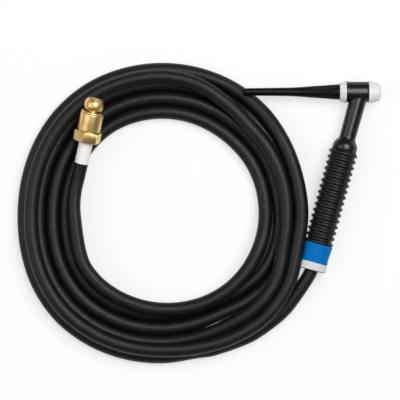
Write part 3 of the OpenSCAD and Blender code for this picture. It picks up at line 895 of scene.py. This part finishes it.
# handle with its ring ribs, and the label sleeve on it
handle = {"valley": 12.85, "crest": 14.45, "ribs": 16, "firstRib": 63.7, "lastRib": 155.65,
          "ribFoot": 2.3, "ribCrest": 0.8, "footRound": 0.7, "crestRound": 0.9, "bore": 9.6,
          "endWall": 12, "hoseHole": 7.1, "seat": 13.2, "labelRadius": 13.7,
          "labelThickness": 0.4, "labelLap": 0.12, "lapAngle": 0.42}


def makeHandle():
    h = handle
    start, end = torch["handleAt"], torch["handleEnd"]
    rows = [(h["bore"], start), (h["valley"], start, 0.8)]
    for i in range(h["ribs"]):
        at = h["firstRib"] + (h["lastRib"] - h["firstRib"]) * i / (h["ribs"] - 1)
        rows += [(h["valley"], at - h["ribFoot"], h["footRound"]),
                 (h["crest"], at - h["ribCrest"], h["crestRound"]),
                 (h["crest"], at + h["ribCrest"], h["crestRound"]),
                 (h["valley"], at + h["ribFoot"], h["footRound"])]
    rows += [(h["valley"], labelStart - 0.3), (h["seat"], labelStart - 0.05),
             (h["seat"], end - 1.2), (h["seat"] - 0.5, end, 0.6), (h["hoseHole"], end, 0.5),
             (h["hoseHole"], end - h["endWall"]), (h["bore"], end - h["endWall"]),
             (h["bore"], start)]
    piece = turnPiece("handle", rows, 96)
    settle(piece, neckAxis, 40)
    return dress(piece, "torch_and_hose", handleBlack, "handle_moulding", "handle")


def makeHandleLabel():
    # a shrink sleeve with a lapped seam along its underside
    h = handle
    length = torch["labelLength"] - 1
    inner = h["labelRadius"] - h["labelThickness"]
    rows = [(inner, 0), (h["labelRadius"], 0, 0.12), (h["labelRadius"], length / 2),
            (h["labelRadius"], length, 0.12), (inner, length), (inner, 0)]
    piece = turnPiece("handleLabel", rows, 120)
    for vertex in piece.data.vertices:
        x, y, z = vertex.co / mm
        turn = math.atan2(x, -y)
        if 0 < turn < h["lapAngle"]:
            radius = math.hypot(x, y)
            vertex.co.x *= 1 + h["labelLap"] / radius
            vertex.co.y *= 1 + h["labelLap"] / radius
    settle(piece, neckAxis @ up(labelStart), 40)
    return dress(piece, "torch_and_hose", handleFilm, "handle_sleeve", "handle_label")


makeHandle()
makeHandleLabel()
print("handle and label sleeve made")


# connector: swivel nut, ball nipple and the label sleeve on the hose
nut = {"acrossFlats": 24, "hexLength": 10.5, "bore": 8.3, "boreDepth": 17, "neckBore": 6.5,
       "relief": 10.2, "reliefLength": 1.6, "barrel": 10.85, "endRelief": 10.1,
       "barrelLength": 20, "edge": 0.18, "cornerDrop": 0.9}


def makeNut():
    n = nut
    corner = n["acrossFlats"] / 2 / math.cos(math.pi / 6)
    drop = n["cornerDrop"]
    back = drop / math.tan(math.pi / 6)
    deselectAll()
    bpy.ops.mesh.primitive_cylinder_add(vertices=6, radius=corner * mm,
                                        depth=n["hexLength"] * mm,
                                        location=(0, 0, n["hexLength"] / 2 * mm))
    piece = bpy.context.object
    piece.name = piece.data.name = "connectorNut"
    bpy.ops.object.transform_apply(location=True)
    length = n["hexLength"]
    rows = [(n["bore"], 0.2), (n["bore"] + 0.4, 0), (corner - back, 0), (corner + 0.1, drop),
            (corner + 0.1, length - drop), (corner - back, length), (n["bore"], length),
            (n["bore"], 0.2)]
    combine(piece, turnPiece("chamfer", rows, 144), "INTERSECT")
    pick(piece)
    edges = piece.modifiers.new("edges", "BEVEL")
    edges.width, edges.segments, edges.limit_method = n["edge"] * mm, 2, "ANGLE"
    edges.angle_limit = math.radians(45)
    bpy.ops.object.modifier_apply(modifier=edges.name)
    end = length + n["barrelLength"]
    shoulder = length + n["reliefLength"]
    rows = [(n["bore"], length - 1), (n["relief"] - 0.3, length - 1), (n["relief"], length - 0.2),
            (n["relief"], shoulder - 0.4), (n["barrel"], shoulder + 0.1, 0.2),
            (n["barrel"], end - 2.2, 0.2), (n["endRelief"], end - 1.7, 0.2),
            (n["endRelief"], end - 1.2, 0.2), (n["barrel"] - 0.2, end - 0.8, 0.2),
            (n["barrel"] - 0.4, end, 0.3), (n["neckBore"], end),
            (n["neckBore"], n["boreDepth"]), (n["bore"], n["boreDepth"]),
            (n["bore"], length - 1)]
    joinUp(piece, turnPiece("nutBarrel", rows, 120))
    place = connectorAxis @ up(connector["hexAt"]) @ Matrix.Rotation(
        math.radians(connector["nutTurn"]), 4, "Z")
    settle(piece, place, 30)
    return dress(piece, "swivel_nut", connectorBrass, "connector_brass", "connector_nut")


nipple = {"neck": 6.45, "neckFrom": 38.1, "ballAt": 55.6, "end": 65.7, "ball": 9.85,
          "face": 7.1, "bore": 3.5, "barb": 3.8, "barbRoot": 3.2, "barbStart": 22.5,
          "barbPitch": 3.9, "barbs": 4, "barbBore": 1.8, "domeAt": 3.6, "domeHeight": 6.5}


def makeNipple():
    n = nipple
    rows = [(n["barbBore"], n["barbStart"])]
    for i in range(n["barbs"]):
        at = n["barbStart"] + i * n["barbPitch"]
        rows += [(n["barbRoot"], at), (n["barb"], at + n["barbPitch"] - 0.1)]
    rows += [(n["barbRoot"], n["neckFrom"]), (n["neck"], n["neckFrom"]),
             (n["neck"], n["ballAt"], 0.25), (n["ball"] - 1.6, n["ballAt"] + 0.4, 0.2),
             (n["ball"] - 0.25, n["ballAt"] + 2.0), (n["ball"] - 0.03, n["ballAt"] + 2.8)]
    for i in range(13):
        turn = math.radians(6 * i)
        rows.append((n["face"] + (n["ball"] - n["face"]) * math.cos(turn),
                     n["ballAt"] + n["domeAt"] + n["domeHeight"] * math.sin(turn)))
    rows += [(n["face"], n["end"], 0.3),
             (n["bore"] + 0.7, n["end"]), (n["bore"], n["end"] - 0.7),
             (n["bore"], n["neckFrom"] + 3), (n["barbBore"], n["neckFrom"] + 2.8),
             (n["barbBore"], n["barbStart"])]
    piece = turnPiece("ballNipple", rows, 112)
    settle(piece, connectorAxis, 35)
    return dress(piece, "torch_and_hose", connectorBrass, "connector_brass", "ball_nipple")


hoseLabel = {"inner": 6.82, "outer": 7.1, "length": 22.5, "waves": 0.12}


def makeHoseLabel():
    # a thin shrink sleeve that takes up the slight waves of the hose under it
    sleeve = hoseLabel
    rows = [(sleeve["inner"], 0)]
    rows += [(sleeve["outer"], sleeve["length"] * i / 24) for i in range(25)]
    rows += [(sleeve["inner"], sleeve["length"]), (sleeve["inner"], 0)]
    piece = turnPiece("hoseLabel", rows, 72)
    for vertex in piece.data.vertices:
        x, y, z = vertex.co / mm
        turn = math.atan2(y, x)
        if math.hypot(x, y) > (sleeve["inner"] + sleeve["outer"]) / 2:
            sink = sleeve["waves"] * (1 + math.sin(3 * turn + z * 0.55) * math.sin(z * 0.8)) / 2
            vertex.co.x *= 1 - sink / sleeve["outer"]
            vertex.co.y *= 1 - sink / sleeve["outer"]
    settle(piece, connectorAxis, 50)
    return dress(piece, "torch_and_hose", hoseFilm, "label_white", "hose_label")


nutPiece = makeNut()
nipplePiece = makeNipple()
hoseLabelPiece = makeHoseLabel()
print("connector made")


# carried-over CAD nodes get their finishes

def finishNode(name, material):
    mesh = nodes[name].data
    mesh.materials.clear()
    mesh.materials.append(material)


finishNode("head_core", headBrass)
for name in ("neck_tube", "torch_cable_nut", "torch_nipple", "torch_crimp_ferrule"):
    finishNode(name, neckBrass)
finishNode("connector_crimp_ferrule", connectorBrass)
print("CAD nodes finished")
